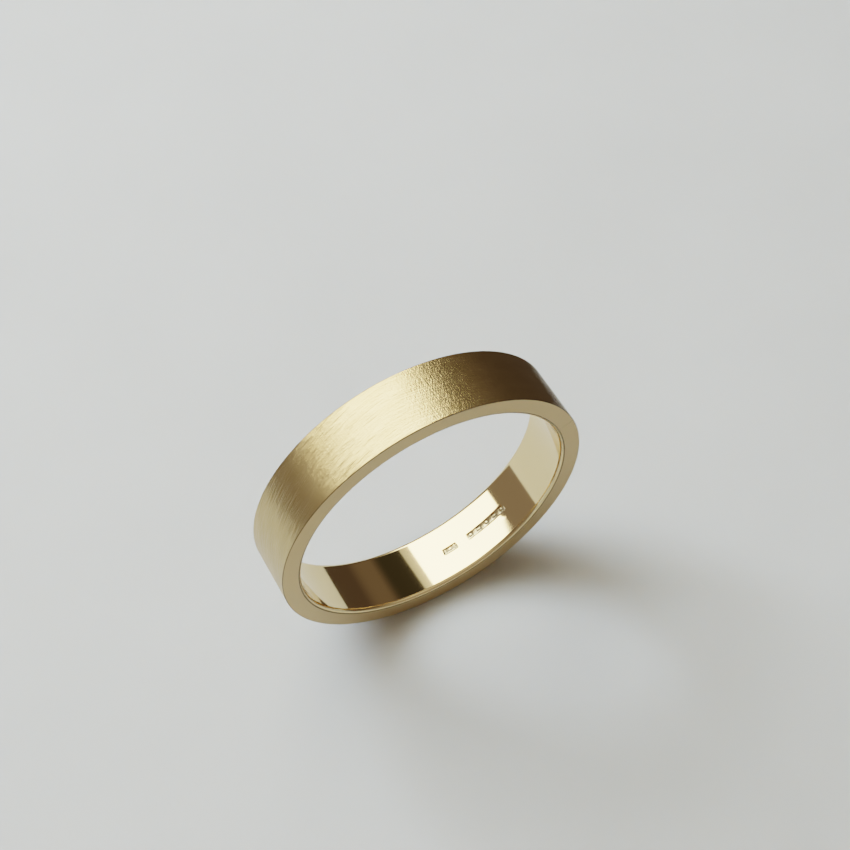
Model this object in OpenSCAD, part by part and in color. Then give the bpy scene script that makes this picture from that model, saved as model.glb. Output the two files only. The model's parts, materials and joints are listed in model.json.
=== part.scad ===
// A flat court wedding band: a rectangular strip of gold, bent round and soldered.
// It stands upright on its rim, with the axis of the bore along Y and +Z up.
// The origin is the middle of the bore, so the lowest point is at -Z.
// Inside the bore a long mark and a row of short ones are punched, with plain devices.

/* [Band] */
// Inside diameter, which is the finger size
bore_d = 18.0; // [14:0.1:24]
// Width of the band along its axis
band_w = 4.0; // [3:0.1:8]
// Thickness of the metal
band_t = 1.3; // [1.1:0.05:2.2]

/* [Edges] */
// Radius that softens each end of the bore for the finger
inner_round = 0.28; // [0.1:0.02:0.4]
// Radius that just breaks each outer edge
outer_break = 0.05; // [0.02:0.01:0.2]

/* [Solder seam] */
// Thickness of the solder between the two ends of the strip
seam_t = 0.1; // [0.06:0.01:0.3]
// Place of the seam around the band, from +X towards +Z
seam_angle = 22; // [0:1:60]

/* [Marks] */
// Depth of every mark below the bore
mark_depth = 0.07; // [0.03:0.01:0.15]
// Height of every mark along the axis of the bore
mark_h = 0.54; // [0.4:0.02:1]
// Length of the long mark around the bore
long_mark = 1.16; // [0.8:0.02:1.6]
// Length of each short mark around the bore
short_mark = 0.56; // [0.4:0.02:0.62]
// Distance between the middles of two short marks
mark_pitch = 0.68; // [0.66:0.02:1]
// Number of short marks
short_marks = 5; // [1:1:6]
// Arc from the lowest point to the middle of the long mark, towards +X
long_mark_at = 2.33; // [1:0.01:3]
// Arc from the lowest point to the middle of the first short mark
short_marks_at = 3.96; // [3.8:0.01:5]

/* [Hidden] */
bore_r = bore_d / 2;
outer_r = bore_r + band_t;
half_w = band_w / 2;
lowest = -90;
punch_start = 0.3;
device_stroke = 0.1;
$fn = 96;

// Cross-section of the strip, with X as the distance from the axis.
module strip_section() {
    inner_x = bore_r + inner_round;
    outer_x = outer_r - outer_break;
    inner_y = half_w - inner_round;
    outer_y = half_w - outer_break;
    translate([inner_x, -half_w]) square([outer_x - inner_x, band_w]);
    translate([bore_r, -inner_y]) square([band_t / 2, 2 * inner_y]);
    translate([bore_r + band_t / 2, -outer_y]) square([band_t / 2, 2 * outer_y]);
    for (side = [-1, 1]) {
        translate([inner_x, side * inner_y]) circle(r = inner_round);
        translate([outer_x, side * outer_y]) circle(r = outer_break);
    }
}

// The whole ring of metal, strip and solder together, about the Z axis.
module closed_ring() {
    rotate_extrude($fn = 180) strip_section();
}

// The gap between the two ends of the strip, where the solder sits.
module seam_slot() {
    rotate([0, 0, seam_angle])
        translate([bore_r - 1, -seam_t / 2, -band_w])
            cube([band_t + 2, seam_t, 2 * band_w]);
}

// Turns the ring from the Z axis to stand on its rim, with its front face at -Y.
module stand_up() {
    rotate([90, 0, 0]) children();
}

// Pushes a flat outline into the bore, at an arc length from the lowest point.
module punched_at(arc) {
    intersection() {
        cylinder(r = bore_r + mark_depth, h = band_w, center = true);
        rotate([0, 0, lowest + arc / bore_r * 180 / PI])
            translate([bore_r - punch_start, 0, 0])
                rotate([90, 0, 90])
                    linear_extrude(height = punch_start + 4 * mark_depth) children();
    }
}

// Outline of the long mark: a plain oblong holding two bars and a dot.
module long_outline() {
    bar_x = long_mark / 3.4;
    difference() {
        square([long_mark, mark_h], center = true);
        for (side = [-1, 1])
            translate([side * bar_x, 0]) square([device_stroke, mark_h * 0.6], center = true);
        circle(d = 2 * device_stroke, $fn = 24);
    }
}

// Square with its corners cut off.
module clipped_square(size) {
    intersection() {
        square(size, center = true);
        rotate(45) square(size * 1.12, center = true);
    }
}

// Round-bottomed shield.
module shield(size) {
    translate([-size / 2, 0]) square([size, size / 2]);
    circle(d = size, $fn = 32);
}

// Outlines of the short marks, by their number in the row.
module short_outline(number) {
    size = min(short_mark, mark_h);
    difference() {
        if (number % 3 == 0) shield(size);
        if (number % 3 == 1) clipped_square(size);
        if (number % 3 == 2) circle(d = size, $fn = 32);
        if (number % 2 == 0) circle(d = 2 * device_stroke, $fn = 24);
        if (number % 2 == 1) square([size * 0.55, device_stroke], center = true);
    }
}

// All the marks, along the middle of the bore.
module marks() {
    punched_at(long_mark_at) long_outline();
    for (number = [0 : short_marks - 1])
        punched_at(short_marks_at + number * mark_pitch) short_outline(number);
}

// The strip of gold, bent round until its two ends nearly meet.
module band() {
    color("#C9B37E")
        stand_up()
            difference() {
                closed_ring();
                seam_slot();
                marks();
            }
}

// The hair-thin solder that joins the two ends, filed to the band's section.
module solder_seam() {
    color("#D8C48E")
        stand_up()
            intersection() {
                closed_ring();
                seam_slot();
            }
}

band();
solder_seam();
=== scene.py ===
# %% [markdown]
# # A plain gold wedding band
#
# The object is one strip of pale yellow gold, bent round and closed with solder. It is brushed outside,
# satin on its side faces and polished in the bore. The CAD frame gives every size. This lesson adds what
# the frame is too plain for: a dense, smooth surface that a mirror finish needs, soft punched marks, and
# three finishes of the same gold.

# %% Load the frame
import json
import math

import bpy
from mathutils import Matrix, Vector


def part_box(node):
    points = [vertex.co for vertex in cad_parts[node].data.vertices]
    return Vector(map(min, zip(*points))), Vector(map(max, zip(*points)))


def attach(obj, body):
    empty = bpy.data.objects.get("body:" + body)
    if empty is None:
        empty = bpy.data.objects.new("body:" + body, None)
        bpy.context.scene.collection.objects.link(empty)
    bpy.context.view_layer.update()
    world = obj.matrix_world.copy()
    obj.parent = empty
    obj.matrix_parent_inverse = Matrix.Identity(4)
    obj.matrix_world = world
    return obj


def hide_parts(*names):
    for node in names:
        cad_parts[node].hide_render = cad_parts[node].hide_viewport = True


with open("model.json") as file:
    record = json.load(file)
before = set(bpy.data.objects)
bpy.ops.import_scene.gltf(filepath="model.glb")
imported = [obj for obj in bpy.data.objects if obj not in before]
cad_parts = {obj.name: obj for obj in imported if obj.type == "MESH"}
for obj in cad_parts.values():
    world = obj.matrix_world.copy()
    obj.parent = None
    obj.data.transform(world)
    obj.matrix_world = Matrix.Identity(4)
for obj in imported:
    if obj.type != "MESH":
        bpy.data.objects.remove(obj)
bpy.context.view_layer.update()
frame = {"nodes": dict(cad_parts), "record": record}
print("CAD nodes:", sorted(frame["nodes"]))

# %% [markdown]
# ## Sizes
#
# A ring is fully described by its bore, wall, width and the rounds on its edges. They are measured on the
# frame or read from its record, so the visual model can't drift from the CAD model. Blender works in
# metres, and a goldsmith in millimetres, so `MM` turns one into the other.

# %% Read the sizes from the frame
MM = 0.001
record = frame["record"]
finger_bore = next(m for m in record["mounts"] if m["name"] == "finger_bore")
band_low, band_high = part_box("band")
outer_r = band_high.x
bore_r = finger_bore["dims"]["r_mm"] * MM
wall = outer_r - bore_r
half_w = (band_high.y - band_low.y) / 2
inner_round = half_w - finger_bore["dims"]["length_mm"] * MM / 2
outer_break = 0.05 * MM
print("outside %.2f, bore %.2f, wall %.2f, width %.2f, inner round %.2f mm" % tuple(
    size / MM for size in (2 * outer_r, 2 * bore_r, wall, 2 * half_w, inner_round)))

# %% Where the solder seam is
seam_low, seam_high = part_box("solder_seam")
seam_middle = (seam_low + seam_high) / 2
SEAM_ANGLE = math.atan2(seam_middle.z, seam_middle.x)
SEAM_T = 0.1 * MM
seam_sweep = SEAM_T / ((bore_r + outer_r) / 2)
print("seam at %.1f degrees, %.2f degrees wide" % (math.degrees(SEAM_ANGLE), math.degrees(seam_sweep)))

# %% [markdown]
# ## The section of the strip
#
# A strip of gold wire has the same section all along, so the section is drawn once and swept round a
# circle. Each corner is an arc. A flat face beside a small round shades badly when it has no points near its
# ends, because a smooth normal is shared by both faces. So each flat face gets a support point close to each
# end. The bore side has many rows, crowded in the middle, where the marks are pressed in.

# %% Helpers for the section
def arc_points(centre, radius, start_deg, end_deg, steps):
    """Points on an arc, both ends included."""
    turn = [math.radians(start_deg + (end_deg - start_deg) * i / steps) for i in range(steps + 1)]
    return [(centre[0] + radius * math.cos(a), centre[1] + radius * math.sin(a)) for a in turn]


def flat_points(start, end, support, steps):
    """Points between the ends of a flat face, without the ends: supports, and even steps between them."""
    start, end = Vector(start), Vector(end)
    margin = (end - start).normalized() * support
    first, last = start + margin, end - margin
    return [tuple(first.lerp(last, i / steps)) for i in range(steps + 1)]


def crowded_rows(reach, steps, middle_share):
    """Heights from -reach to reach, whose spacing in the middle is middle_share of the mean."""
    places = [-1 + 2 * i / steps for i in range(steps + 1)]
    return [reach * t * (middle_share + (1 - middle_share) * t * t) for t in places]


# %% Draw the section
SUPPORT = 0.015 * MM
BORE_ROWS = 64
MIDDLE_SPACING = 0.42
ROUND_STEPS = 10
BREAK_STEPS = 5
SIDE_STEPS = 3
OUTSIDE_STEPS = 10
flat_reach = half_w - inner_round


def band_section():
    """Section as a closed loop: X is the distance out from the bore wall, Y runs along the finger."""
    outer_x = wall - outer_break
    outer_y = half_w - outer_break
    bore = [(0, y) for y in crowded_rows(flat_reach - SUPPORT, BORE_ROWS, MIDDLE_SPACING)]
    back_inner = arc_points((inner_round, flat_reach), inner_round, 180, 90, ROUND_STEPS)
    back_face = flat_points((inner_round, half_w), (outer_x, half_w), SUPPORT, SIDE_STEPS)
    back_outer = arc_points((outer_x, outer_y), outer_break, 90, 0, BREAK_STEPS)
    outside = flat_points((wall, outer_y), (wall, -outer_y), SUPPORT, OUTSIDE_STEPS)
    half = back_inner + back_face + back_outer
    front = [(x, -y) for x, y in reversed(half)]
    return bore + half + outside + front


section_points = band_section()
section_mesh = bpy.data.meshes.new("strip_section")
edges = [(i, (i + 1) % len(section_points)) for i in range(len(section_points))]
section_mesh.from_pydata([(x, y, 0) for x, y in section_points], edges, [])
section_object = bpy.data.objects.new("strip_section", section_mesh)
bpy.context.scene.collection.objects.link(section_object)
print("section has", len(section_points), "points")

# %% [markdown]
# ## One helper for every node
#
# Geometry and shader trees are both made of nodes with settings and inputs. One small function adds any of
# them, and takes either a value or another node's socket for each input.

# %% The helper that adds a node
def add_node(tree, kind, inputs=None, **settings):
    """Adds a node with its settings. inputs gives values or sockets, by the input's name or number."""
    node = tree.nodes.new(kind)
    for name, value in settings.items():
        setattr(node, name, value)
    for key, value in (inputs or {}).items():
        if isinstance(value, bpy.types.NodeSocket):
            tree.links.new(value, node.inputs[key])
        else:
            node.inputs[key].default_value = value
    return node


# %% [markdown]
# ## A punched mark as a rule
#
# A punch leaves a flat-bottomed hollow with sloping walls. Its depth depends only on how far a point is
# from the punch's outline, so one node group works out that distance for an oblong with round corners, and
# turns it into a depth. A short corner makes an oblong, and a corner of half the height makes a disc. A
# negative depth leaves a raised device inside a hollow.

# %% The group that presses one outline
def make_press_group():
    """Node group: depth in millimetres at (Along, Across), for a round-cornered outline centred at At."""
    tree = bpy.data.node_groups.new("press_outline", "GeometryNodeTree")
    for name in ("Along", "Across", "At", "Length", "Height", "Corner", "Depth", "Slope"):
        tree.interface.new_socket(name, in_out="INPUT", socket_type="NodeSocketFloat")
    tree.interface.new_socket("Depth", in_out="OUTPUT", socket_type="NodeSocketFloat")
    given = add_node(tree, "NodeGroupInput").outputs
    shift = add_node(tree, "ShaderNodeMath", {0: given["Along"], 1: given["At"]}, operation="SUBTRACT")
    overhangs = []
    for place, size in ((shift.outputs[0], given["Length"]), (given["Across"], given["Height"])):
        distance = add_node(tree, "ShaderNodeMath", {0: place}, operation="ABSOLUTE")
        half = add_node(tree, "ShaderNodeMath", {0: size, 1: 0.5}, operation="MULTIPLY")
        straight = add_node(tree, "ShaderNodeMath", {0: half.outputs[0], 1: given["Corner"]},
                            operation="SUBTRACT")
        over = add_node(tree, "ShaderNodeMath", {0: distance.outputs[0], 1: straight.outputs[0]},
                        operation="SUBTRACT")
        overhangs.append(over.outputs[0])
    outside = [add_node(tree, "ShaderNodeMath", {0: over, 1: 0.0}, operation="MAXIMUM").outputs[0]
               for over in overhangs]
    corner_vector = add_node(tree, "ShaderNodeCombineXYZ", {0: outside[0], 1: outside[1]})
    beyond = add_node(tree, "ShaderNodeVectorMath", {0: corner_vector.outputs[0]}, operation="LENGTH")
    deepest = add_node(tree, "ShaderNodeMath", {0: overhangs[0], 1: overhangs[1]}, operation="MAXIMUM")
    within = add_node(tree, "ShaderNodeMath", {0: deepest.outputs[0], 1: 0.0}, operation="MINIMUM")
    sharp = add_node(tree, "ShaderNodeMath", {0: beyond.outputs["Value"], 1: within.outputs[0]},
                     operation="ADD")
    rounded = add_node(tree, "ShaderNodeMath", {0: sharp.outputs[0], 1: given["Corner"]},
                       operation="SUBTRACT")
    inner_edge = add_node(tree, "ShaderNodeMath", {0: given["Slope"], 1: -1.0}, operation="MULTIPLY")
    depth = add_node(tree, "ShaderNodeMapRange",
                     {"Value": rounded.outputs[0], "From Min": inner_edge.outputs[0], "From Max": 0.0,
                      "To Min": given["Depth"], "To Max": 0.0},
                     interpolation_type="SMOOTHERSTEP")
    add_node(tree, "NodeGroupOutput", {"Depth": depth.outputs["Result"]})
    return tree


press_group = make_press_group()
print("press group has", len(press_group.nodes), "nodes")

# %% [markdown]
# ## The marks
#
# Goldsmiths punch small marks in the middle of the bore. Here they are one long oblong and five short
# outlines, each with a plain dot or bar. Three things make them look struck and not cut:
#
# - the short ones sit in one shared trough, because each blow sinks the metal beside it
# - each group lies in a wide, very shallow dish, which bends the reflections around it
# - the punch leaned, so every mark is deep towards the front face and fades out towards the back

# %% Sizes of the marks, in millimetres
MARK_DEPTH = 0.05
MARK_H = 0.54
MARK_SLOPE = 0.17
LONG_MARK = 1.16
LONG_MARK_AT = 2.33
SHORT_MARK = 0.56
SHORT_MARKS = 5
SHORT_MARKS_AT = 3.96
MARK_PITCH = 0.68
ROW_LENGTH = SHORT_MARKS * MARK_PITCH
ROW_MIDDLE = SHORT_MARKS_AT + (SHORT_MARKS - 1) / 2 * MARK_PITCH
ROW_DEPTH = 0.025
DEVICE_STROKE = 0.12
DEVICE_RISE = 0.025
DEVICE_SLOPE = 0.06
DOT = 1.6 * DEVICE_STROKE
BAR_FROM_MIDDLE = LONG_MARK / 3.4
BACK_SHARE = 0.12
FRONT_SHARE = 1.33


# %% The outlines to press
def outline(at, length, height, corner, depth, slope):
    """One outline in millimetres, under the names of the press group's inputs."""
    return {"At": at, "Length": length, "Height": height, "Corner": corner, "Depth": depth, "Slope": slope}


def device(at, length, height, corner):
    """A raised dot or bar inside a hollow."""
    return outline(at, length, height, corner, depth=-DEVICE_RISE, slope=DEVICE_SLOPE)


def long_mark():
    """The long oblong, with a bar near each end and a dot between them."""
    bars = [device(LONG_MARK_AT + side * BAR_FROM_MIDDLE, DEVICE_STROKE, 0.6 * MARK_H, corner=0.03)
            for side in (-1, 1)]
    return [outline(LONG_MARK_AT, LONG_MARK, MARK_H, corner=0.05, depth=MARK_DEPTH, slope=MARK_SLOPE),
            *bars,
            device(LONG_MARK_AT, DOT, DOT, corner=DOT / 2)]


def short_marks():
    """The short outlines, with a dot or a bar by turns."""
    corners = (0.2, 0.06, MARK_H / 2)
    marks = []
    for number in range(SHORT_MARKS):
        at = SHORT_MARKS_AT + number * MARK_PITCH
        marks.append(outline(at, SHORT_MARK, MARK_H, corner=corners[number % len(corners)],
                             depth=MARK_DEPTH - ROW_DEPTH, slope=MARK_SLOPE))
        if number % 2 == 0:
            marks.append(device(at, DOT, DOT, corner=DOT / 2))
        else:
            marks.append(device(at, MARK_H / 2, DEVICE_STROKE, corner=0.04))
    return marks


def sunk_metal():
    """The trough that the short marks share, and the wide dish round each group."""
    return [outline(ROW_MIDDLE, ROW_LENGTH, MARK_H, corner=0.1, depth=ROW_DEPTH, slope=0.12),
            outline(ROW_MIDDLE, ROW_LENGTH + 1.3, MARK_H + 1.0, corner=0.7, depth=0.012, slope=0.9),
            outline(LONG_MARK_AT, LONG_MARK + 0.7, MARK_H + 0.7, corner=0.5, depth=0.006, slope=0.6)]


outlines = long_mark() + short_marks() + sunk_metal()
print(len(outlines), "outlines to press")

# %% [markdown]
# ## The path and the sweep
#
# Curve to Mesh carries the section along an arc that starts at one side of the solder and ends at the
# other. The arc begins as a straight row of points, and each point's share of the row decides its angle.
# The columns crowd where the marks are: their angles follow a sine, so the spacing changes slowly and a
# mirror finish shows no step. The solder is the same sweep, as a very short arc.

# %% The angle of each column
def column_angle(tree, given):
    """Each point's angle: its even share of the sweep, pulled towards the place where columns crowd."""
    full_turn = 2 * math.pi
    last = add_node(tree, "ShaderNodeMath", {0: given["Columns"], 1: 1.0}, operation="SUBTRACT")
    index = add_node(tree, "GeometryNodeInputIndex")
    share = add_node(tree, "ShaderNodeMath", {0: index.outputs[0], 1: last.outputs[0]}, operation="DIVIDE")
    from_crowd = add_node(tree, "ShaderNodeMath", {0: share.outputs[0], 1: given["Crowd At"]},
                          operation="SUBTRACT")
    waves = []
    for place in (from_crowd.outputs[0], given["Crowd At"]):
        turn = add_node(tree, "ShaderNodeMath", {0: place, 1: full_turn}, operation="MULTIPLY")
        waves.append(add_node(tree, "ShaderNodeMath", {0: turn.outputs[0]}, operation="SINE").outputs[0])
    both = add_node(tree, "ShaderNodeMath", {0: waves[0], 1: waves[1]}, operation="ADD")
    pull = add_node(tree, "ShaderNodeMath", {0: given["Crowding"], 1: full_turn}, operation="DIVIDE")
    pulled = add_node(tree, "ShaderNodeMath", {0: both.outputs[0], 1: pull.outputs[0]},
                      operation="MULTIPLY")
    crowded = add_node(tree, "ShaderNodeMath", {0: share.outputs[0], 1: pulled.outputs[0]},
                       operation="SUBTRACT")
    angle = add_node(tree, "ShaderNodeMath",
                     {0: crowded.outputs[0], 1: given["Sweep Angle"], 2: given["Start Angle"]},
                     operation="MULTIPLY_ADD")
    return angle.outputs[0]


# %% The path and the strip along it
def bent_path(tree, given):
    """A row of points bent into an arc round the bore, as a curve, and the angle of each point on it."""
    line = add_node(tree, "GeometryNodeMeshLine", {"Count": given["Columns"]}, mode="OFFSET")
    angled = add_node(tree, "GeometryNodeStoreNamedAttribute",
                      {"Geometry": line.outputs[0], "Name": "path_angle",
                       "Value": column_angle(tree, given)}, data_type="FLOAT", domain="POINT")
    path_angle = add_node(tree, "GeometryNodeInputNamedAttribute", {"Name": "path_angle"},
                          data_type="FLOAT").outputs[0]
    cosine = add_node(tree, "ShaderNodeMath", {0: path_angle}, operation="COSINE")
    sine = add_node(tree, "ShaderNodeMath", {0: path_angle}, operation="SINE")
    spoke = add_node(tree, "ShaderNodeCombineXYZ", {0: cosine.outputs[0], 1: sine.outputs[0]})
    on_arc = add_node(tree, "ShaderNodeVectorMath", {0: spoke.outputs[0], "Scale": given["Bore Radius"]},
                      operation="SCALE")
    bent = add_node(tree, "GeometryNodeSetPosition",
                    {"Geometry": angled.outputs[0], "Position": on_arc.outputs[0]})
    path = add_node(tree, "GeometryNodeMeshToCurve", {"Mesh": bent.outputs[0]})
    return path.outputs[0], path_angle


def swept_strip(tree, given, path):
    """The section carried along the path, with both ends closed."""
    section = add_node(tree, "GeometryNodeObjectInfo", {"Object": given["Section"]})
    profile = add_node(tree, "GeometryNodeMeshToCurve", {"Mesh": section.outputs["Geometry"]})
    swept = add_node(tree, "GeometryNodeCurveToMesh",
                     {"Curve": path, "Profile Curve": profile.outputs[0], "Fill Caps": True})
    return swept.outputs[0]


# %% [markdown]
# ## Places on the strip
#
# Each point keeps its place on the strip in millimetres: along it from the lowest point, across it from the
# middle, and up from the bore wall. The marks are set out in these, like marks on a strip that is still
# flat, and the finishes read them too, so their brushing follows the band round.

# %% Each point's place
LOWEST_ANGLE = math.radians(270)


def place_on_strip(tree, given, path_angle):
    """Place along, across and above the bore wall in millimetres, and the direction away from the axis."""
    position = add_node(tree, "GeometryNodeInputPosition")
    parts = add_node(tree, "ShaderNodeSeparateXYZ", {0: position.outputs[0]})
    across = add_node(tree, "ShaderNodeMath", {0: parts.outputs["Z"], 1: MM}, operation="DIVIDE")
    flat = add_node(tree, "ShaderNodeVectorMath", {0: position.outputs[0], 1: (1, 1, 0)},
                    operation="MULTIPLY")
    radius = add_node(tree, "ShaderNodeVectorMath", {0: flat.outputs[0]}, operation="LENGTH")
    above_bore = add_node(tree, "ShaderNodeMath", {0: radius.outputs["Value"], 1: given["Bore Radius"]},
                          operation="SUBTRACT")
    height = add_node(tree, "ShaderNodeMath", {0: above_bore.outputs[0], 1: MM}, operation="DIVIDE")
    bore_mm = add_node(tree, "ShaderNodeMath", {0: given["Bore Radius"], 1: MM}, operation="DIVIDE")
    from_lowest = add_node(tree, "ShaderNodeMath", {0: path_angle, 1: LOWEST_ANGLE}, operation="SUBTRACT")
    along = add_node(tree, "ShaderNodeMath", {0: from_lowest.outputs[0], 1: bore_mm.outputs[0]},
                     operation="MULTIPLY")
    outward = add_node(tree, "ShaderNodeVectorMath", {0: flat.outputs[0]}, operation="NORMALIZE")
    return along.outputs[0], across.outputs[0], height.outputs[0], outward.outputs[0]


# %% The depth of the marks at a point
# In millimetres: points less than this above the bore wall are on it.
BORE_SKIN = 0.001


def depth_of_marks(tree, given, along, across, height):
    """Depth of all outlines together in millimetres: more towards the front, and only on the bore wall."""
    total = None
    for sizes in outlines:
        pressed = add_node(tree, "GeometryNodeGroup", {"Along": along, "Across": across, **sizes},
                           node_tree=press_group)
        if total is None:
            total = pressed.outputs[0]
        else:
            total = add_node(tree, "ShaderNodeMath", {0: total, 1: pressed.outputs[0]},
                             operation="ADD").outputs[0]
    tilted = add_node(tree, "ShaderNodeMapRange",
                      {"Value": across, "From Min": -MARK_H / 2, "From Max": MARK_H / 2,
                       "To Min": BACK_SHARE, "To Max": FRONT_SHARE})
    leaning = add_node(tree, "ShaderNodeMath", {0: total, 1: tilted.outputs[0]}, operation="MULTIPLY")
    on_bore = add_node(tree, "ShaderNodeMath", {0: height, 1: BORE_SKIN}, operation="LESS_THAN")
    kept = add_node(tree, "ShaderNodeMath", {0: leaning.outputs[0], 1: on_bore.outputs[0]},
                    operation="MULTIPLY")
    shared = add_node(tree, "ShaderNodeMath", {0: kept.outputs[0], 1: given["Mark Share"]},
                      operation="MULTIPLY")
    return shared.outputs[0]


# %% The slight waviness that hand filing and polishing leave
def waviness(tree, given):
    """How far each point moves along its normal, as a vector."""
    wave_scale = add_node(tree, "ShaderNodeMath", {0: 1.0, 1: given["Wave Size"]}, operation="DIVIDE")
    noise = add_node(tree, "ShaderNodeTexNoise",
                     {"Scale": wave_scale.outputs[0], "W": given["Seed"], "Detail": 1.0},
                     noise_dimensions="4D")
    centred = add_node(tree, "ShaderNodeMath", {0: noise.outputs[0], 1: 0.5}, operation="SUBTRACT")
    wave = add_node(tree, "ShaderNodeMath", {0: centred.outputs[0], 1: given["Waviness"]},
                    operation="MULTIPLY")
    normal = add_node(tree, "GeometryNodeInputNormal")
    offset = add_node(tree, "ShaderNodeVectorMath", {0: normal.outputs[0], "Scale": wave.outputs[0]},
                      operation="SCALE")
    return offset.outputs[0]


# %% [markdown]
# ## Where each finish goes
#
# The outside is the rule, and two selections change it. The bore's finish goes up to the middle of the
# rounded inner edge. Faces that look along the finger are side faces.

# %% Set the three finishes
# How nearly a face must look along the finger: the cosine of about eight degrees.
SIDE_FACING = 0.99


def finished(tree, given, geometry):
    """Gives every face the material of the outside, the bore or the side faces."""
    normal = add_node(tree, "GeometryNodeInputNormal")
    face_normal = add_node(tree, "ShaderNodeSeparateXYZ", {0: normal.outputs[0]})
    facing = add_node(tree, "ShaderNodeMath", {0: face_normal.outputs["Y"]}, operation="ABSOLUTE")
    on_side = add_node(tree, "ShaderNodeMath", {0: facing.outputs[0], 1: SIDE_FACING},
                       operation="GREATER_THAN")
    strip_mm = add_node(tree, "GeometryNodeInputNamedAttribute", {"Name": "strip_mm"},
                        data_type="FLOAT_VECTOR")
    strip_parts = add_node(tree, "ShaderNodeSeparateXYZ", {0: strip_mm.outputs[0]})
    near_bore = add_node(tree, "ShaderNodeMath",
                         {0: strip_parts.outputs["Z"], 1: inner_round / MM / 2}, operation="LESS_THAN")
    finish = add_node(tree, "GeometryNodeSetMaterial", {"Geometry": geometry, "Material": given["Outside"]})
    for name, selection in (("Bore", near_bore), ("Side Faces", on_side)):
        finish = add_node(tree, "GeometryNodeSetMaterial",
                          {"Geometry": finish.outputs[0], "Selection": selection.outputs[0],
                           "Material": given[name]})
    return finish.outputs[0]


# %% [markdown]
# ## The whole tree
#
# The steps come in the order of the bench: bend and sweep the strip, press the marks, leave the slight
# waviness, stand the band on its rim and finish it. The tree lies flat until it is stood up, so Z is across
# the strip until then and Y after it.

# %% The inputs of the tree
STRIP_INPUT_KINDS = {
    "Section": "Object", "Bore Radius": "Float", "Start Angle": "Float", "Sweep Angle": "Float",
    "Columns": "Int", "Crowding": "Float", "Crowd At": "Float", "Mark Share": "Float",
    "Waviness": "Float", "Wave Size": "Float", "Seed": "Float",
    "Outside": "Material", "Side Faces": "Material", "Bore": "Material",
}


# %% Build the tree
def make_strip_tree():
    """Geometry Nodes tree that sweeps the section, presses the marks and sets the three finishes."""
    tree = bpy.data.node_groups.new("bent_strip", "GeometryNodeTree")
    for name, kind in STRIP_INPUT_KINDS.items():
        tree.interface.new_socket(name, in_out="INPUT", socket_type="NodeSocket" + kind)
    tree.interface.new_socket("Geometry", in_out="OUTPUT", socket_type="NodeSocketGeometry")
    given = add_node(tree, "NodeGroupInput").outputs
    path, path_angle = bent_path(tree, given)
    along, across, height, outward = place_on_strip(tree, given, path_angle)
    strip_place = add_node(tree, "ShaderNodeCombineXYZ", {0: along, 1: across, 2: height})
    placed = add_node(tree, "GeometryNodeStoreNamedAttribute",
                      {"Geometry": swept_strip(tree, given, path), "Name": "strip_mm",
                       "Value": strip_place.outputs[0]}, data_type="FLOAT_VECTOR", domain="POINT")
    depth = depth_of_marks(tree, given, along, across, height)
    known = add_node(tree, "GeometryNodeStoreNamedAttribute",
                     {"Geometry": placed.outputs[0], "Name": "mark_mm", "Value": depth},
                     data_type="FLOAT", domain="POINT")
    depth_m = add_node(tree, "ShaderNodeMath", {0: depth, 1: MM}, operation="MULTIPLY")
    pushed = add_node(tree, "ShaderNodeVectorMath", {0: outward, "Scale": depth_m.outputs[0]},
                      operation="SCALE")
    marked = add_node(tree, "GeometryNodeSetPosition",
                      {"Geometry": known.outputs[0], "Offset": pushed.outputs[0]})
    wavy = add_node(tree, "GeometryNodeSetPosition",
                    {"Geometry": marked.outputs[0], "Offset": waviness(tree, given)})
    standing = add_node(tree, "GeometryNodeTransform",
                        {"Geometry": wavy.outputs[0], "Rotation": (math.radians(90), 0, 0)})
    smooth = add_node(tree, "GeometryNodeSetShadeSmooth", {"Geometry": standing.outputs[0]})
    realised = add_node(tree, "GeometryNodeRealizeInstances", {"Geometry": smooth.outputs[0]})
    add_node(tree, "NodeGroupOutput", {"Geometry": finished(tree, given, realised.outputs[0])})
    return tree


strip_tree = make_strip_tree()
print("strip tree has", len(strip_tree.nodes), "nodes")

# %% [markdown]
# ## Pale yellow gold
#
# Nine carat gold is a little over a third gold, with silver and copper, so it is paler and less orange than
# fine gold. All three finishes are this one metal. Only what was done to its surface differs: polishing
# leaves a mirror, fine emery leaves satin, and a coarser pad leaves brushing.

# %% Helpers for finishes
def colour(hex_code):
    """sRGB hex code as a linear colour, with full alpha."""
    channels = [int(hex_code[i:i + 2], 16) / 255 for i in (1, 3, 5)]
    linear = [c / 12.92 if c <= 0.04045 else ((c + 0.055) / 1.055) ** 2.4 for c in channels]
    return (*linear, 1.0)


def new_material(name):
    """Material with an empty tree, its shader and its output."""
    material = bpy.data.materials.new(name)
    material.use_nodes = True
    tree = material.node_tree
    tree.nodes.clear()
    shader = add_node(tree, "ShaderNodeBsdfPrincipled")
    add_node(tree, "ShaderNodeOutputMaterial", {"Surface": shader.outputs[0]})
    return material, tree, shader


# %% The tones of the gold
GOLD = colour("#E7CE9C")
GOLD_BRUSHED = colour("#CFB886")
GOLD_BRUSHED_DEEPER = colour("#B79D6B")
GOLD_SATIN = colour("#CBB082")
# A greyer, darker tone for painted shade in the marks.
GOLD_MARK_SHADE = colour("#C2B696")
# A dark tone for painted shade along both edges of the outside.
GOLD_EDGE_SHADE = colour("#7A6342")


def gold_shader(name, roughness, anisotropy=0.0):
    """Gold with the constants of one finish."""
    material, tree, shader = new_material(name)
    shader.inputs["Base Color"].default_value = GOLD
    shader.inputs["Metallic"].default_value = 1.0
    shader.inputs["Roughness"].default_value = roughness
    shader.inputs["Anisotropic"].default_value = anisotropy
    return material, tree, shader


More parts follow.
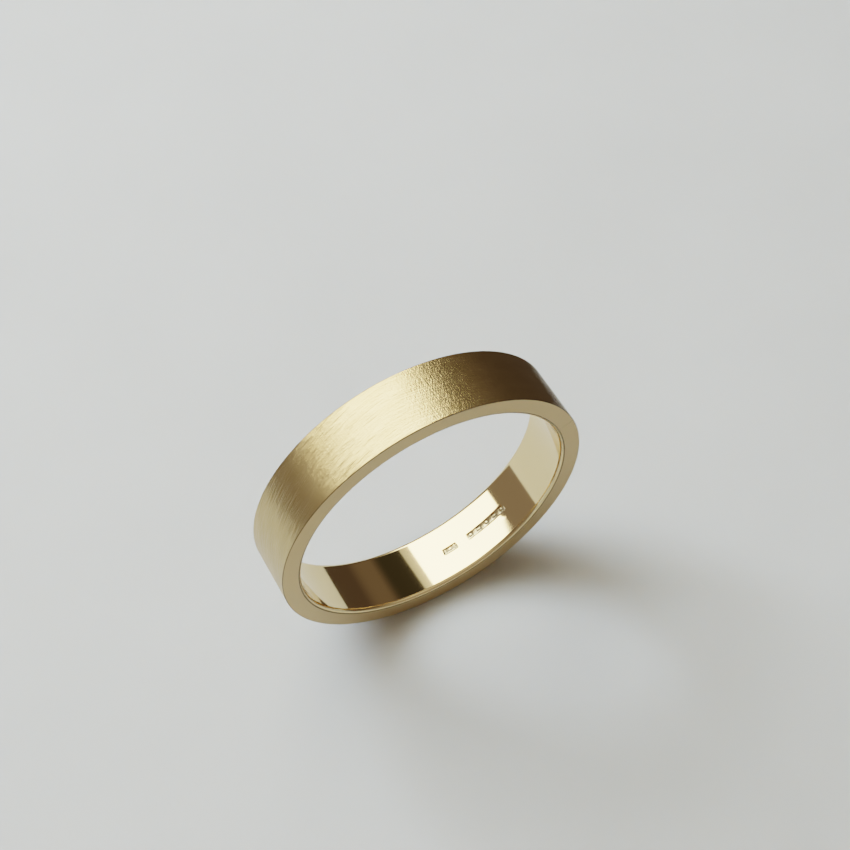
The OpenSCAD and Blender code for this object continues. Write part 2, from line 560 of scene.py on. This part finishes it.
# %% [markdown]
# ## The brushed outside
#
# A brushed finish is thousands of fine grooves. Each groove throws light across itself, so a highlight is
# wide across the grooves and tight along them: that is what anisotropy means. Grooves a tenth of a
# millimetre wide are drawn as bumps, and the finer ones are left to the shader's roughness.
#
# The band was brushed by hand, in two goes. Long strokes follow it round on one part, and on the rest the
# pad was turned, so short strokes cross each other and leave it a little smoother. A slow change joins them
# at both ends. The ring was brushed after it was soldered, so the crossed part runs over the seam.

# %% Grooves as stretched noise
def groove_noise(tree, place, slant_deg, length_mm, width_mm, seed):
    """Height of grooves that are length_mm long and width_mm wide, slanted from the strip's length."""
    turned = add_node(tree, "ShaderNodeVectorRotate",
                      {"Vector": place, "Angle": math.radians(slant_deg)}, rotation_type="Z_AXIS")
    stretched = add_node(tree, "ShaderNodeVectorMath",
                         {0: turned.outputs[0], 1: (1 / length_mm, 1 / width_mm, 1.0)},
                         operation="MULTIPLY")
    noise = add_node(tree, "ShaderNodeTexNoise",
                     {"Vector": stretched.outputs[0], "W": seed, "Scale": 1.0, "Detail": 2.0},
                     noise_dimensions="4D")
    return noise.outputs["Fac"]


def weighted_sum(tree, heights):
    """Sum of heights, each with its own weight."""
    total = None
    for height, weight in heights:
        scaled = add_node(tree, "ShaderNodeMath", {0: height, 1: weight}, operation="MULTIPLY")
        if total is None:
            total = scaled
        else:
            total = add_node(tree, "ShaderNodeMath", {0: total.outputs[0], 1: scaled.outputs[0]},
                             operation="ADD")
    return total.outputs[0]


# %% The strokes of the pad: slant in degrees, length and width in millimetres, and weight
LONG_STROKES = ((-9, 1.5, 0.1, 2.2), (6, 2.0, 0.14, 1.0), (84, 0.7, 0.1, 0.5), (35, 0.8, 0.09, 0.4))
LONG_SEED = 0
CROSSED_STROKES = ((6, 1.4, 0.08, 1.0), (84, 0.6, 0.07, 0.7), (-70, 0.7, 0.07, 0.5), (35, 0.8, 0.08, 0.3),
                   (-50, 0.6, 0.07, 0.3))
CROSSED_SEED = 10


def brushing(tree, place, strokes, first_seed):
    """Height of several strokes together, each with a seed of its own."""
    grooves = [(groove_noise(tree, place, slant, length, width, first_seed + number), weight)
               for number, (slant, length, width, weight) in enumerate(strokes)]
    return weighted_sum(tree, grooves)


# %% Where the long strokes are, in millimetres along the strip
LONG_FROM = -29.0
LONG_TO = 10.0
PAD_CHANGE = 6.0


def long_stroke_share(tree, along):
    """1 where the strokes are long and 0 where the pad was turned, with a slow change at both ends."""
    ramps = []
    for start, low, high in ((LONG_FROM, 0.0, 1.0), (LONG_TO, 1.0, 0.0)):
        ramp = add_node(tree, "ShaderNodeMapRange",
                        {"Value": along, "From Min": start, "From Max": start + PAD_CHANGE,
                         "To Min": low, "To Max": high}, interpolation_type="SMOOTHSTEP")
        ramps.append(ramp.outputs[0])
    share = add_node(tree, "ShaderNodeMath", {0: ramps[0], 1: ramps[1]}, operation="MULTIPLY")
    return share.outputs[0]


# %% The brushed tone, with painted shade along its edges
EDGE_SHADE_FROM_EDGE = 0.07
EDGE_SHADE_FULL_FROM_EDGE = 0.01


def brushed_tone_and_edge_shade(tree, place, across):
    """Slightly uneven at random, and darker at both edges, where a painted shade line is mixed in."""
    patches = groove_noise(tree, place, slant_deg=0, length_mm=1.6, width_mm=0.7, seed=5.0)
    tone = add_node(tree, "ShaderNodeMix", {0: patches, 6: GOLD_BRUSHED, 7: GOLD_BRUSHED_DEEPER},
                    data_type="RGBA")
    # Painted shade: a dark line is mixed into the tone along both edges of the outside.
    from_middle = add_node(tree, "ShaderNodeMath", {0: across}, operation="ABSOLUTE")
    edge_shade = add_node(tree, "ShaderNodeMapRange",
                    {"Value": from_middle.outputs[0], "From Min": half_w / MM - EDGE_SHADE_FROM_EDGE,
                     "From Max": half_w / MM - EDGE_SHADE_FULL_FROM_EDGE})
    edge_shaded = add_node(tree, "ShaderNodeMix", {0: edge_shade.outputs[0], 6: tone.outputs[2], 7: GOLD_EDGE_SHADE},
                     data_type="RGBA")
    return edge_shaded.outputs[2]


# %% The brushed finish
CROSSED_ROUGHNESS = 0.27
LONG_ROUGHNESS = 0.33
GROOVE_HEIGHT = 0.02 * MM


def brushed_gold():
    """Outside of the band: a soft, streaky glow, with long strokes on one part and crossed on the rest."""
    material, tree, shader = gold_shader("brushed 9 ct gold", roughness=0.3, anisotropy=0.4)
    place = add_node(tree, "ShaderNodeAttribute", attribute_name="strip_mm").outputs["Vector"]
    parts = add_node(tree, "ShaderNodeSeparateXYZ", {0: place})
    long_share = long_stroke_share(tree, parts.outputs["X"])
    long_grooves = brushing(tree, place, LONG_STROKES, LONG_SEED)
    crossed_grooves = brushing(tree, place, CROSSED_STROKES, CROSSED_SEED)
    grooves = add_node(tree, "ShaderNodeMix", {0: long_share, 2: crossed_grooves, 3: long_grooves},
                       data_type="FLOAT")
    bump = add_node(tree, "ShaderNodeBump",
                    {"Height": grooves.outputs[0], "Strength": 1.0, "Distance": GROOVE_HEIGHT})
    rough = add_node(tree, "ShaderNodeMapRange",
                     {"Value": long_share, "To Min": CROSSED_ROUGHNESS, "To Max": LONG_ROUGHNESS})
    # The tangent runs round the band, like the grooves. A highlight stretches along the tangent, so the
    # quarter turn of "Anisotropic Rotation" makes it stretch across the grooves instead.
    geometry = add_node(tree, "ShaderNodeNewGeometry")
    tangent = add_node(tree, "ShaderNodeVectorMath", {0: geometry.outputs["Normal"], 1: (0, 1, 0)},
                       operation="CROSS_PRODUCT")
    shader.inputs["Anisotropic Rotation"].default_value = 0.25
    tree.links.new(tangent.outputs[0], shader.inputs["Tangent"])
    tree.links.new(bump.outputs[0], shader.inputs["Normal"])
    tree.links.new(rough.outputs["Result"], shader.inputs["Roughness"])
    tree.links.new(brushed_tone_and_edge_shade(tree, place, parts.outputs["Y"]), shader.inputs["Base Color"])
    return material


# %% [markdown]
# ## The satin side faces
#
# The sides are rubbed flat on fine emery, which leaves an even satin with no clear direction. Emery's own
# grain is too fine to show, so it is drawn coarser here, at about a tenth of a millimetre, with a faint
# trace of the filing before it. Towards the bore the polishing stick has caught the edge, so the satin is a
# little smoother there. It takes the outer half of the rounded inner edge too.

# %% The satin finish
SATIN_ROUGHNESS = 0.42
SATIN_NEAR_BORE = 0.34
STICK_REACH = 0.25
GRAIN_HEIGHT = 0.008 * MM


def satin_gold():
    """Side faces: a soft, even sheen from a very fine grain, smoother close to the bore."""
    material, tree, shader = gold_shader("satin 9 ct gold", SATIN_ROUGHNESS)
    shader.inputs["Base Color"].default_value = GOLD_SATIN
    place = add_node(tree, "ShaderNodeAttribute", attribute_name="strip_mm").outputs["Vector"]
    parts = add_node(tree, "ShaderNodeSeparateXYZ", {0: place})
    on_side = add_node(tree, "ShaderNodeCombineXYZ", {0: parts.outputs["X"], 1: parts.outputs["Z"]})
    grain = groove_noise(tree, on_side.outputs[0], slant_deg=0, length_mm=0.12, width_mm=0.06, seed=6.0)
    filed = groove_noise(tree, on_side.outputs[0], slant_deg=0, length_mm=2.5, width_mm=0.3, seed=7.0)
    bump = add_node(tree, "ShaderNodeBump",
                    {"Height": weighted_sum(tree, ((grain, 0.6), (filed, 1.0))), "Strength": 1.0,
                     "Distance": GRAIN_HEIGHT})
    tree.links.new(bump.outputs[0], shader.inputs["Normal"])
    polish = add_node(tree, "ShaderNodeMapRange",
                      {"Value": parts.outputs["Z"], "From Min": inner_round / MM / 2,
                       "From Max": inner_round / MM + STICK_REACH,
                       "To Min": SATIN_NEAR_BORE, "To Max": SATIN_ROUGHNESS})
    tree.links.new(polish.outputs["Result"], shader.inputs["Roughness"])
    return material


# %% [markdown]
# ## The polished bore
#
# The bore is polished on a felt stick, so it is close to a mirror, with a faint haze and the finest of
# lines along the band. Real polishing lines are too fine to show, so fewer and wider ones are drawn. The
# stick can't reach into the marks, so they stay rough, and their colour is greyed and darkened with depth
# as painted shade. The stick leaves the start of the rounded edges a bit rougher than the bore.

# %% The polished finish
POLISHED_ROUGHNESS = 0.07
MARK_ROUGHNESS = 0.24
ROUGH_FROM_DEPTH = 0.013
ROUGH_BY_DEPTH = 0.03
MARK_SHADE_BY_DEPTH = 0.04
EDGE_ADDS_ROUGHNESS = 0.26
EDGE_ROUGH_BY = inner_round / MM * 0.4
LINE_HEIGHT = 0.0003 * MM


def polished_gold():
    """Bore: a mirror with faint polishing lines, rough in the marks with painted shade by depth, rougher at
    the rounded edges.
    """
    material, tree, shader = gold_shader("polished 9 ct gold", POLISHED_ROUGHNESS)
    place = add_node(tree, "ShaderNodeAttribute", attribute_name="strip_mm").outputs["Vector"]
    depth = add_node(tree, "ShaderNodeAttribute", attribute_name="mark_mm").outputs["Fac"]
    rough = add_node(tree, "ShaderNodeMapRange",
                     {"Value": depth, "From Min": ROUGH_FROM_DEPTH, "From Max": ROUGH_BY_DEPTH,
                      "To Min": POLISHED_ROUGHNESS, "To Max": MARK_ROUGHNESS})
    # Painted shade: the colour greys and darkens with the depth of the marks.
    mark_shade = add_node(tree, "ShaderNodeMapRange",
                    {"Value": depth, "From Min": ROUGH_FROM_DEPTH, "From Max": MARK_SHADE_BY_DEPTH})
    tone = add_node(tree, "ShaderNodeMix", {0: mark_shade.outputs[0], 6: GOLD, 7: GOLD_MARK_SHADE}, data_type="RGBA")
    parts = add_node(tree, "ShaderNodeSeparateXYZ", {0: place})
    rim = add_node(tree, "ShaderNodeMapRange",
                   {"Value": parts.outputs["Z"], "From Max": EDGE_ROUGH_BY,
                    "To Max": EDGE_ADDS_ROUGHNESS})
    roughness = add_node(tree, "ShaderNodeMath", {0: rough.outputs[0], 1: rim.outputs[0]}, operation="ADD")
    lines = groove_noise(tree, place, slant_deg=0, length_mm=5.0, width_mm=0.12, seed=8.0)
    bump = add_node(tree, "ShaderNodeBump", {"Height": lines, "Strength": 1.0, "Distance": LINE_HEIGHT})
    tree.links.new(roughness.outputs[0], shader.inputs["Roughness"])
    tree.links.new(tone.outputs[2], shader.inputs["Base Color"])
    tree.links.new(bump.outputs[0], shader.inputs["Normal"])
    return material


# %% Make the finishes
finishes = {"Outside": brushed_gold(), "Side Faces": satin_gold(), "Bore": polished_gold()}
print("finishes:", [material.name for material in finishes.values()])

# %% [markdown]
# ## The band and the solder
#
# Both pieces come from the one tree. The tree's result is taken as a plain mesh, so nothing is left live on
# the piece, and each piece replaces the CAD node of the same shape.

# %% Where the columns must crowd
CROWDING = 0.75
SETTLING_ROUNDS = 60


def crowd_share(place_share):
    """Share of the columns at which the crowded path reaches place_share of its sweep."""
    share = place_share
    for _ in range(SETTLING_ROUNDS):
        share = place_share + CROWDING / (2 * math.pi) * math.sin(2 * math.pi * share)
    return share


marks_middle_mm = (LONG_MARK_AT + SHORT_MARKS_AT + ROW_LENGTH) / 2
marks_middle = LOWEST_ANGLE + marks_middle_mm * MM / bore_r
band_start = SEAM_ANGLE + seam_sweep / 2
band_sweep = 2 * math.pi - seam_sweep
crowd_at = crowd_share((marks_middle - band_start) / band_sweep)
print("columns crowd at %.3f of their row" % crowd_at)

# %% Make one piece with the tree
def strip_piece(name, node, inputs):
    """Runs the tree with these inputs and returns its mesh as an object that stands for a CAD node."""
    carrier = bpy.data.objects.new("carrier", bpy.data.meshes.new("carrier"))
    bpy.context.scene.collection.objects.link(carrier)
    modifier = carrier.modifiers.new("bent_strip", "NODES")
    modifier.node_group = strip_tree
    for item in strip_tree.interface.items_tree:
        if item.in_out == "INPUT":
            modifier[item.identifier] = inputs[item.name]
    evaluated = carrier.evaluated_get(bpy.context.evaluated_depsgraph_get())
    mesh = bpy.data.meshes.new_from_object(evaluated)
    mesh.name = name
    piece = bpy.data.objects.new(name, mesh)
    bpy.context.scene.collection.objects.link(piece)
    bpy.data.objects.remove(carrier)
    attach(piece, "root")
    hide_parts(node)
    return piece


# %% The strip, bent round
COLUMNS = 700
WAVE_HEIGHT = 0.004 * MM
WAVE_SIZE = 5 * MM
WAVE_SEED = 3.0
strip_inputs = {
    "Section": section_object, "Bore Radius": bore_r, "Start Angle": band_start, "Sweep Angle": band_sweep,
    "Columns": COLUMNS, "Crowding": CROWDING, "Crowd At": crowd_at, "Mark Share": 1.0,
    "Waviness": WAVE_HEIGHT, "Wave Size": WAVE_SIZE, "Seed": WAVE_SEED, **finishes,
}
band = strip_piece("brushed_band", "band", strip_inputs)
print("band:", len(band.data.polygons), "faces,", [m.name for m in band.data.materials])

# %% The solder between its ends
seam_inputs = {**strip_inputs, "Start Angle": SEAM_ANGLE - seam_sweep / 2, "Sweep Angle": seam_sweep,
               "Columns": 3, "Crowding": 0.0, "Crowd At": 0.0, "Mark Share": 0.0}
solder = strip_piece("solder_line", "solder_seam", seam_inputs)
print("solder:", len(solder.data.polygons), "faces")
bpy.data.objects.remove(section_object)

# %% [markdown]
# ## The stage
#
# A ring is mostly what it reflects, so the stage matters as much as the metal. The camera sees a plain,
# pale floor. The gold sees only a slab of it, eight-sided and about as wide as a coaster, with brown cloth
# past its edges, because that brown is what darkens gold near the horizon. So the floor is made twice: a
# wide one that reflections don't see, and the slab, which only reflections see. The stone lets light in a
# few millimetres, which softens and warms the shadow close to the ring.

# %% The stone of both floors
STONE = colour("#82817C")
STONE_CLOUD = colour("#8A8984")
CLOUD_SIZE = 14 * MM
LIGHT_REACH = 4.0 * MM


def pale_stone():
    """Pale, slightly cloudy, honed stone."""
    material, tree, shader = new_material("pale honed stone")
    place = add_node(tree, "ShaderNodeNewGeometry").outputs["Position"]
    cloud = add_node(tree, "ShaderNodeTexNoise", {"Vector": place, "Scale": 1 / CLOUD_SIZE, "Detail": 4.0})
    tone = add_node(tree, "ShaderNodeMix", {0: cloud.outputs[0], 6: STONE, 7: STONE_CLOUD},
                    data_type="RGBA")
    tree.links.new(tone.outputs[2], shader.inputs["Base Color"])
    shader.inputs["Roughness"].default_value = 0.6
    shader.subsurface_method = "BURLEY"
    shader.inputs["Subsurface Weight"].default_value = 1.0
    shader.inputs["Subsurface Radius"].default_value = (1.0, 0.75, 0.5)
    shader.inputs["Subsurface Scale"].default_value = LIGHT_REACH
    return material


# %% A flat, many-sided floor
def flat_floor(name, centre, radius, sides, turn, material):
    """Polygon at the foot of the ring, with one corner at the angle turn."""
    angles = [turn + 2 * math.pi * i / sides for i in range(sides)]
    corners = [(centre[0] + radius * math.cos(a), centre[1] + radius * math.sin(a), band_low.z)
               for a in angles]
    mesh = bpy.data.meshes.new(name)
    mesh.from_pydata(corners, [], [range(sides)])
    mesh.materials.append(material)
    floor = bpy.data.objects.new(name, mesh)
    bpy.context.scene.collection.objects.link(floor)
    return floor


# %% The floor and the slab
FLOOR_R = 160 * MM
FLOOR_SIDES = 96
SLAB_SIDE = 47 * MM
SLAB_SIDES = 8
SLAB_CENTRE = (-24 * MM, -27 * MM)
SLAB_TURN = math.radians(45)
SLAB_LIFT = 0.02 * MM
stone = pale_stone()
floor = flat_floor("floor", (0, 0), FLOOR_R, FLOOR_SIDES, 0, stone)
floor.visible_glossy = False
slab_r = SLAB_SIDE / 2 / math.sin(math.pi / SLAB_SIDES)
slab = flat_floor("reflected_slab", SLAB_CENTRE, slab_r, SLAB_SIDES, SLAB_TURN, stone)
slab.location.z = SLAB_LIFT
slab.visible_camera = slab.visible_diffuse = slab.visible_shadow = False
print("slab is %.0f mm across its flats" % (2 * slab_r * math.cos(math.pi / SLAB_SIDES) / MM))

# %% [markdown]
# ## The surroundings
#
# The brown isn't even. The ceiling is pale and the room in front is a soft grey-brown. To the left the
# cloth is lighter and to the right it is deep brown, with one fold that catches the light. High up beside
# the window it is nearly black. Each of these is a soft patch around one direction.

# %% Patches of the surroundings
CLOTH = colour("#463C33")
# For each patch: azimuth and elevation of its middle, how far it is full and where it ends, and its tint.
SKY_PATCHES = {
    "ceiling": (0, 90, 30, 66, "#E6DFD0"),
    "room in front": (180, 15, 30, 75, "#A89C8C"),
    "deep brown, right": (60, 5, 25, 50, "#4A3F36"),
    "lighter cloth, left": (-60, 5, 30, 70, "#85796F"),
    "lit fold, right": (58, 33, 5, 20, "#66594C"),
    "dark beside the window": (44, 48, 8, 18, "#343024"),
}


def direction(azimuth_deg, elevation_deg):
    """Unit vector: azimuth 0 is +Y and 90 is +X."""
    azimuth, elevation = math.radians(azimuth_deg), math.radians(elevation_deg)
    return (math.sin(azimuth) * math.cos(elevation), math.cos(azimuth) * math.cos(elevation),
            math.sin(elevation))


def sky_patch(tree, look, below, toward, full_deg, end_deg, tint):
    """Mixes tint into the colour below, within full_deg of a direction and fading out by end_deg."""
    facing = add_node(tree, "ShaderNodeVectorMath", {0: look, 1: toward}, operation="DOT_PRODUCT")
    amount = add_node(tree, "ShaderNodeMapRange",
                      {"Value": facing.outputs["Value"], "From Min": math.cos(math.radians(end_deg)),
                       "From Max": math.cos(math.radians(full_deg))}, interpolation_type="SMOOTHSTEP")
    mixed = add_node(tree, "ShaderNodeMix", {0: amount.outputs["Result"], 6: below, 7: colour(tint)},
                     data_type="RGBA")
    return mixed.outputs[2]


# %% The surroundings
def make_surroundings():
    """Brown cloth all round, under a pale ceiling, with its lighter and darker patches."""
    world = bpy.data.worlds.new("brown_cloth")
    bpy.context.scene.world = world
    world.use_nodes = True
    tree = world.node_tree
    tree.nodes.clear()
    look = add_node(tree, "ShaderNodeTexCoord").outputs["Generated"]
    tone = CLOTH
    for azimuth, elevation, full_deg, end_deg, tint in SKY_PATCHES.values():
        tone = sky_patch(tree, look, tone, direction(azimuth, elevation), full_deg, end_deg, tint)
    background = add_node(tree, "ShaderNodeBackground", {"Color": tone, "Strength": 1.0})
    add_node(tree, "ShaderNodeOutputWorld", {"Surface": background.outputs[0]})


make_surroundings()
print("patches:", list(SKY_PATCHES))

# %% [markdown]
# ## The window
#
# One tall window stands behind the ring and to the left, with a thin curtain at its right-hand side. In the
# bore its jambs and sill are sharp, and on the brushing they are soft, so its edges are placed by the
# directions in which the ring sees them. A window is upright, so its jambs stay upright in reflections too.

# %% The window's edges, in degrees as the ring sees them
LEFT_JAMB = -62
CURTAIN = 28
RIGHT_JAMB = 38.5
FACING = (LEFT_JAMB + RIGHT_JAMB) / 2
SILL = 21
HEAD = 70
WINDOW_AWAY = 350 * MM
DAYLIGHT = colour("#FFFBEA")
GLASS_RADIANCE = 8.0
CURTAIN_RADIANCE = 0.85


# %% Its two panes
def make_pane(name, left, right, radiance):
    """One upright pane, lit evenly, between two directions that are seen from the ring."""
    corner = WINDOW_AWAY / math.cos(math.radians(RIGHT_JAMB - FACING))
    low, high = corner * math.tan(math.radians(SILL)), WINDOW_AWAY * math.tan(math.radians(HEAD))
    from_middle = [WINDOW_AWAY * math.tan(math.radians(side - FACING)) for side in (left, right)]
    light = bpy.data.lights.new(name, "AREA")
    light.shape = "RECTANGLE"
    light.size, light.size_y = from_middle[1] - from_middle[0], high - low
    light.energy = radiance * math.pi * light.size * light.size_y
    light.color = DAYLIGHT[:3]
    pane = bpy.data.objects.new(name, light)
    bpy.context.scene.collection.objects.link(pane)
    outward, rightward = Vector(direction(FACING, 0)), Vector(direction(FACING + 90, 0))
    pane.location = outward * WINDOW_AWAY + rightward * sum(from_middle) / 2
    pane.location.z = (low + high) / 2
    pane.rotation_euler = outward.to_track_quat("Z", "Y").to_euler()
    print("%s: %.0f x %.0f mm, %.1f W" % (name, light.size / MM, light.size_y / MM, light.energy))


make_pane("clear glass", LEFT_JAMB, CURTAIN, GLASS_RADIANCE)
make_pane("curtain", CURTAIN, RIGHT_JAMB, CURTAIN_RADIANCE)

# %% [markdown]
# ## The key light
#
# The window alone is so wide that the ring's shadow would nearly vanish. A smaller soft box in front of it
# draws the two dark tails of the shadow. The gold doesn't see the box.

# %% The key light
KEY_SIZE = 230 * MM
KEY_AWAY_MM = 450
KEY_TOWARD = direction(-25, 35)
KEY_POWER = 11.0
KEY_TINT = colour("#E0EEFF")


def make_key():
    """Soft box in front of the window, which reflections don't see."""
    light = bpy.data.lights.new("key", "AREA")
    light.size = KEY_SIZE
    light.energy = KEY_POWER
    light.color = KEY_TINT[:3]
    key = bpy.data.objects.new("key", light)
    bpy.context.scene.collection.objects.link(key)
    toward = Vector(KEY_TOWARD)
    key.location = toward * KEY_AWAY_MM * MM
    key.rotation_euler = toward.to_track_quat("Z", "Y").to_euler()
    key.visible_glossy = False
    print("key light: %.0f mm wide, %.1f W" % (light.size / MM, light.energy))


make_key()

# %% [markdown]
# ## The camera
#
# The camera looks down into the bore from above and to the left of the front. Gold is judged by the colour
# of its highlights, and the Filmic view keeps them warm where the default view turns them grey.

# %% The camera
CAMERA_LENS = 64.6
CAMERA_PLACE = Vector((-23.71, -43.82, 79.65)) * MM
CAMERA_TURN = (math.radians(34.6), 0, math.radians(-28.8))
NEAREST_SEEN = 1 * MM


def make_camera():
    """Camera above and to the left of the front, looking down into the bore."""
    camera = bpy.data.objects.new("camera", bpy.data.cameras.new("camera"))
    bpy.context.scene.collection.objects.link(camera)
    camera.data.lens = CAMERA_LENS
    camera.data.clip_start = NEAREST_SEEN
    camera.location = CAMERA_PLACE
    camera.rotation_euler = CAMERA_TURN
    bpy.context.scene.camera = camera


make_camera()
bpy.context.scene.view_settings.view_transform = "Filmic"
